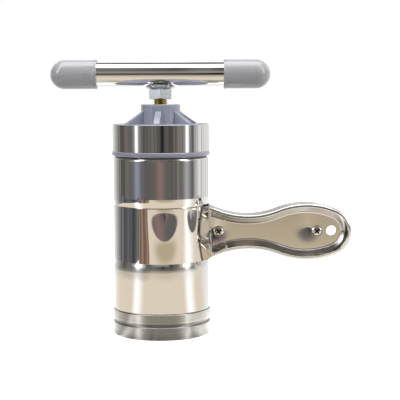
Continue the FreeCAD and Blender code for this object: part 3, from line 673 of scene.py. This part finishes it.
def make_flange_nut(finish):
    """Hexagon nut with a dished flange, toothed where it bites into the tube."""
    low, high = (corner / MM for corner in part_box("flange_nut"))
    rim = high.x
    rim_high = high.z - NUT_DISH
    rim_low = rim_high - NUT_RIM_T
    nut = hexagon(NUT_AF, low.z, rim_low + CUT_PAST)
    flange = turned([
        (NUT_AF / 2, rim_low - NUT_CONE_H), (rim - NUT_RIM_LOW, rim_low),
        (rim, rim_low + NUT_RIM_LOW), (rim, rim_high - NUT_RIM_HIGH),
        (rim - NUT_RIM_HIGH, rim_high), (NUT_SEAT_R, high.z)], NUT_SIDES)
    nut = carve(nut, flange, "UNION")
    tooth = bar(*NUT_TOOTH, -NUT_TOOTH_DEPTH, CUT_PAST, NUT_TOOTH_TAPER)
    tooth.rotation_euler = (0, math.atan2(NUT_DISH, rim - NUT_SEAT_R), 0)
    tooth.location = ((rim + NUT_SEAT_R) / 2 * MM, 0, (rim_high + high.z) / 2 * MM)
    apply_place(tooth)
    for i in range(NUT_TEETH):
        nut = carve(nut, twin(tooth, (0, 0, math.tau * (i + 0.5) / NUT_TEETH)))
    bpy.data.objects.remove(tooth)
    nut = carve(nut, turned([(LEAD_R, low.z - CUT_PAST), (LEAD_R, high.z + CUT_PAST)]))
    dress(nut, "toothed_flange_nut", "screw", "zinc_steel", finish, "flange_nut")


def make_thread(name, low, high, pitch, finish):
    """Coarse thread of the cylinder between two heights in mm, for the lid or the die cap."""
    foot = pitch * THREAD_FOOT
    tip = pitch * THREAD_TIP
    step = (foot - tip) / 2
    wire = profile_line([
        (THREAD_ROOT_R, low), (THREAD_CREST_R, low + step), (THREAD_CREST_R, low + step + tip),
        (THREAD_ROOT_R, low + foot), (THREAD_ROOT_R, low)])
    edit(wire)
    bpy.ops.mesh.remove_doubles(threshold=MERGE * MM)
    bpy.ops.object.mode_set(mode="OBJECT")
    ridge = wind(wire, pitch, int((high - low - foot) / pitch), THREAD_STEPS)
    edit(ridge)
    bpy.ops.mesh.select_all(action="DESELECT")
    bpy.ops.mesh.select_non_manifold()
    bpy.ops.mesh.fill_holes(sides=8)
    leave_edit()
    dress(ridge, name, "barrel", "turned_aluminium", finish)


def glow_material(name):
    """Emission material for a studio card, with its tree and its emission node."""
    material = bpy.data.materials.new(name)
    material.use_nodes = True
    tree = material.node_tree
    tree.nodes.clear()
    light = add(tree, "ShaderNodeEmission")
    add(tree, "ShaderNodeOutputMaterial", {"Surface": light.outputs[0]})
    return material, tree, light


def azimuth_tones(tree, stops, streaks=0.0):
    """Colour that changes with the azimuth round the press, from (azimuth, linear colour) pairs;
    streaks is the contrast of its upright streaks."""
    ahead = add(tree, "ShaderNodeMapping", {
        "Vector": object_coords(tree), "Rotation": (0, 0, math.radians(90))})
    turn = add(tree, "ShaderNodeTexGradient", {"Vector": ahead.outputs[0]},
               gradient_type="RADIAL").outputs["Fac"]
    tones = add(tree, "ShaderNodeValToRGB", {"Fac": turn})
    stripes = tones.color_ramp.elements
    while len(stripes) < len(stops):
        stripes.new(0.5)
    for stripe, (azimuth, colour) in zip(stripes, stops):
        stripe.position = 0.5 + azimuth / 360
        stripe.color = colour
    if not streaks:
        return tones.outputs["Color"]
    clutter = add(tree, "ShaderNodeTexNoise", {
        "W": turn, "Scale": 360 / STREAK_WIDTH, "Detail": 2.0}, noise_dimensions="1D")
    amount = ramp(tree, clutter.outputs["Fac"], *STREAK_RANGE, 1 - streaks, 1 + streaks)
    return mix(tree, 1.0, tones.outputs["Color"], amount, blend_type="MULTIPLY")


def wall_colour(tone):
    """Linear colour of a wall: warm where it is dim, white where it is lit."""
    if tone >= LIT_WALL:
        return grey(tone)
    return tuple(tone * c for c in ROOM_TINT) + (1.0,)


def mirror_only(prop):
    """Studio card that shows only in reflections."""
    prop.visible_camera = False
    prop.visible_diffuse = False
    prop.visible_shadow = False


def faded(colour, around, share):
    """Colour part of the way to a brightness."""
    return tuple((1 - share) * c + share * around for c in colour[:3]) + (1.0,)


def card(name, azimuth, width, low, high, radius, tone, around=None):
    """Upright studio card facing the press, of a brightness or an sRGB colour, which may fade at
    its sides to a brightness around it."""
    deselect()
    turn = math.radians(azimuth)
    middle = Vector((radius * math.sin(turn), -radius * math.cos(turn), (low + high) / 2))
    span = width if around is None else 2 * CARD_FADE[-1][0] * width
    bpy.ops.mesh.primitive_plane_add(
        size=1.0, location=middle, rotation=(math.radians(90), 0, turn))
    plane = bpy.context.object
    plane.name = name
    plane.scale = (2 * radius * math.tan(math.radians(span / 2)), high - low, 1.0)
    apply_place(plane)
    material, tree, light = glow_material(name)
    colour = srgb(tone) if isinstance(tone, str) else grey(tone)
    light.inputs["Color"].default_value = colour
    if around is not None:
        soft = [(width * part, faded(colour, around, share)) for part, share in CARD_FADE]
        left = [(azimuth - reach, shade) for reach, shade in reversed(soft)]
        right = [(azimuth + reach, shade) for reach, shade in soft]
        tree.links.new(azimuth_tones(tree, left + right), light.inputs["Color"])
    plane.data.materials.append(material)
    mirror_only(plane)
    return plane


def make_room(name, low, high, tones):
    """Wall round the press, an open cylinder toned by (azimuth, brightness) pairs."""
    deselect()
    bpy.ops.mesh.primitive_cylinder_add(
        vertices=ROUND_SIDES, radius=ROOM_R, depth=high - low, end_fill_type="NOTHING",
        location=(0, 0, (low + high) / 2))
    room = bpy.context.object
    room.name = name
    apply_place(room)
    material, tree, light = glow_material(name)
    stops = [(azimuth, wall_colour(tone)) for azimuth, tone in tones]
    tree.links.new(azimuth_tones(tree, stops, ROOM_STREAKS), light.inputs["Color"])
    room.data.materials.append(material)
    mirror_only(room)
    room.visible_diffuse = True


def spot(tree, x, y, radius):
    """Factor that rises smoothly from 0 to 1 towards a place."""
    place = add(tree, "ShaderNodeMapping", {
        "Vector": object_coords(tree), "Location": (-x / radius, -y / radius, 0),
        "Scale": (1 / radius,) * 3})
    near = add(tree, "ShaderNodeTexGradient", {"Vector": place.outputs[0]},
               gradient_type="SPHERICAL")
    return ramp(tree, near.outputs["Fac"], 0.0, SPOT_EDGE, interpolation_type="SMOOTHSTEP")


def table_tones():
    """Tones of the table by azimuth: plain, streaked towards the softboxes, pale towards the white
    backdrop."""
    plain = tuple(c * TABLE_GLOW for c in srgb(TABLE_TONE)[:3]) + (1.0,)
    pale = grey(TABLE_PALE)
    left, right = STREAK_SIDES
    tones = [(PALE_LEFT[0], pale), (PALE_LEFT[1], plain)]
    for azimuth, width, _ in SOFTBOXES:
        tones += [(azimuth - left * width, plain), (azimuth, grey(STREAK_GLOW)),
                  (azimuth + right * width, plain)]
    return tones + [(PALE_RIGHT[0], plain), (PALE_RIGHT[1], pale)]


def foot_tones():
    """Tones of the table near the foot by azimuth: shaded in front, glowing at the sides."""
    left = [(azimuth, grey(glow)) for azimuth, glow in FOOT_LEFT]
    shade = [(azimuth, srgb(SHADE_TONE)) for azimuth in SHADE_AZIMUTHS]
    right = [(azimuth, grey(glow)) for azimuth, glow in FOOT_RIGHT]
    return left + shade + right


def make_table():
    """Warm pale round table as the metal sees it: glossy towards the softboxes, shaded round the
    foot."""
    deselect()
    bpy.ops.mesh.primitive_circle_add(
        vertices=ROUND_SIDES, radius=TABLE_R, fill_type="NGON", location=(0, 0, TABLE_Z))
    table = bpy.context.object
    table.name = "table"
    apply_place(table)
    edit(table)
    (x, y), (across, ahead) = TABLE_EDGE
    bpy.ops.mesh.bisect(plane_co=(x, y, 0), plane_no=(across, ahead, 0), clear_inner=True)
    bpy.ops.object.mode_set(mode="OBJECT")
    material, tree, light = glow_material("table")
    top = azimuth_tones(tree, table_tones())
    # the table is darker and browner about one place in front
    dull = mix(tree, spot(tree, *DARKER_SPOT), top, srgb(DARKER_TONE))
    foot = azimuth_tones(tree, foot_tones(), FOOT_STREAKS)
    near = mix(tree, spot(tree, 0, 0, SHADE_R), dull, foot)
    tree.links.new(near, light.inputs["Color"])
    table.data.materials.append(material)
    mirror_only(table)


def sheet(name, corners, tones):
    """Flat sheet that lies on the table, toned by (azimuth, linear colour) pairs."""
    deselect()
    bpy.ops.mesh.primitive_plane_add(size=1.0, location=(0, 0, 0))
    flat = bpy.context.object
    flat.name = name
    for vertex, (x, y) in zip(flat.data.vertices, corners):
        vertex.co = (x, y, SHEET_Z)
    material, tree, light = glow_material(name)
    tree.links.new(azimuth_tones(tree, tones, SHEET_STREAKS), light.inputs["Color"])
    flat.data.materials.append(material)
    mirror_only(flat)


def make_floor():
    """Pale floor for the camera, without shadows; the metal sees the table instead."""
    deselect()
    bpy.ops.mesh.primitive_plane_add(size=FLOOR_SIZE, location=(0, 0, FLOOR_Z))
    floor = bpy.context.object
    floor.name = "floor"
    floor.visible_glossy = False
    floor.visible_diffuse = False
    pale, _, shader = new_material("pale_floor")
    shader.inputs["Base Color"].default_value = grey(FLOOR_TONE)
    shader.inputs["Roughness"].default_value = FLOOR_ROUGH
    shader.inputs["Specular IOR Level"].default_value = 0.0
    shader.inputs["Emission Color"].default_value = grey(1.0)
    shader.inputs["Emission Strength"].default_value = 1.0
    floor.data.materials.append(pale)


def make_surround():
    """White world, dimmer straight up and straight down."""
    world = bpy.data.worlds.new("white_surround")
    world.use_nodes = True
    tree = world.node_tree
    coords = add(tree, "ShaderNodeTexCoord")
    height = add(tree, "ShaderNodeSeparateXYZ", {0: coords.outputs["Generated"]}).outputs["Z"]
    low, high, share = SKY_FADE
    above = ramp(tree, height, low, high, 1.0, share)
    low, high, share = GROUND_FADE
    below = ramp(tree, height, low, high, share, 1.0)
    background = tree.nodes["Background"]
    background.inputs["Color"].default_value = grey(1.0)
    tree.links.new(combine(tree, "MULTIPLY", above, below), background.inputs["Strength"])
    bpy.context.scene.world = world


def make_softboxes():
    """Two upright softboxes: tiers that also light the plastics, a dim foot and a bright core."""
    for i, (azimuth, width, tone) in enumerate(SOFTBOXES):
        for j, (low, high, glow, part) in enumerate(SOFTBOX_TIERS):
            tier = card("softbox_%d_%d" % (i, j), azimuth, width * part, low, high, SOFTBOX_R,
                        glow, SOFTBOX_AROUND)
            tier.visible_diffuse = True
        low, high, part, around = SOFTBOX_FOOT
        card("softbox_foot_%d" % i, azimuth, width * part, low, high, SOFTBOX_R, tone, around)
        low, high, glow, part = SOFTBOX_CORE
        card("softbox_core_%d" % i, azimuth, width * part, low, high, CORE_R, glow)


def make_lamp():
    """Wide soft light from above."""
    lamp = bpy.data.lights.new("overhead", "AREA")
    lamp.shape = "RECTANGLE"
    lamp.size, lamp.size_y = LAMP_SIZE
    lamp.energy = LAMP_WATTS
    overhead = bpy.data.objects.new("overhead", lamp)
    overhead.location = LAMP_AT
    bpy.context.scene.collection.objects.link(overhead)


def make_studio():
    """White surround, dim room in front, softboxes, a table and light from above."""
    bpy.context.scene.view_settings.view_transform = "Standard"
    make_surround()
    make_room("wall", ROOM_LOW, ROOM_MID, ROOM_TONES)
    make_room("wall_above", ROOM_MID, ROOM_HIGH, [(-180, ROOM_DIM), (180, ROOM_DIM)])
    make_table()
    make_floor()
    sheet("dark_cloth", CLOTH_CORNERS, [
        (azimuth, tuple(tone * c for c in CLOTH_TINT) + (1.0,)) for azimuth, tone in CLOTH_TONES])
    sheet("wooden_board", BOARD_CORNERS, [(azimuth, srgb(tone)) for azimuth, tone in BOARD_TONES])
    make_softboxes()
    for studio_card in CARDS:
        card(*studio_card)
    make_lamp()


def make_camera():
    """Camera where the photograph was taken from."""
    data = bpy.data.cameras.new("camera")
    data.lens = LENS_MM
    data.sensor_width = SENSOR_MM
    data.clip_start = CLIP_START
    camera = bpy.data.objects.new("camera", data)
    tilt = Matrix.Rotation(math.radians(90 - CAMERA_PITCH), 4, "X")
    roll = Matrix.Rotation(math.radians(-CAMERA_ROLL), 4, "Z")
    camera.matrix_world = Matrix.Translation(CAMERA_AT) @ tilt @ roll
    bpy.context.scene.collection.objects.link(camera)
    bpy.context.scene.camera = camera


barrel_steel = polished_stainless(
    "polished_stainless_barrel", spacing=(0.7, 0.7, 70.0), low=0.01, high=0.03, depth=0.004,
    drawn=DRAWN_AT)
bar_steel = polished_stainless(
    "polished_stainless_bar", spacing=(70.0, 0.7, 0.7), low=0.02, high=0.05, depth=0.002)
strap_steel = pressed_stainless()
aluminium = turned_aluminium()
die_steel = plain_metal("satin_stainless_die", "#bdb9b2", 0.25, 0.4)
zinc = plain_metal("bright_zinc_plate", "#c4c8cc", 0.16, 0.26)
yellow_zinc = plain_metal("yellow_passivated_zinc", "#c3b36c", 0.1, 0.2)
nickel = plain_metal("nickel_plated_steel", "#c9c4bd", 0.08, 0.16)
# painted shade: a dark finish for the cross recesses of the screws
recess_shade = plain_metal("painted_recess_shade", "#4a4644", 0.4, 0.6)
brass = plain_metal("machined_brass", "#c9a24e", 0.2, 0.35)
grey_plastic = moulded_plastic(
    "moulded_abs", "#a5a9b8", low=0.05, high=0.1, grit=0.6, relief=0.02)
grey_vinyl = moulded_plastic(
    "dipped_vinyl", "#b9babf", low=0.1, high=0.16, grit=4.0, relief=0.004)

FINISH = {
    "outer_shell": barrel_steel, "lid_band": barrel_steel, "handle_strap": strap_steel,
    "handle_tube": bar_steel, "inner_cylinder": aluminium, "die_cap": aluminium,
    "die_plate": die_steel, "lid_moulding": grey_plastic, "piston_plate": grey_plastic,
    "grip_cap_left": grey_vinyl, "grip_cap_right": grey_vinyl, "lid_nut": brass,
    "lead_screw": yellow_zinc, "flange_nut": zinc, "handle_screws": nickel, "handle_nuts": nickel,
    "handle_spacers": zinc, "thrust_washer": zinc, "retaining_washer": zinc,
    "retaining_screw": zinc}
for name, finish in FINISH.items():
    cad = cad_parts[name]
    cad.data.materials.clear()
    cad.data.materials.append(finish)

make_lead_screw(yellow_zinc)
make_handle_screws(nickel, recess_shade)
make_handle_nuts(nickel)
make_flange_nut(zinc)
make_thread("neck_thread", *NECK_THREAD, aluminium)
make_thread("spigot_thread", *SPIGOT_THREAD, aluminium)
make_studio()
make_camera()
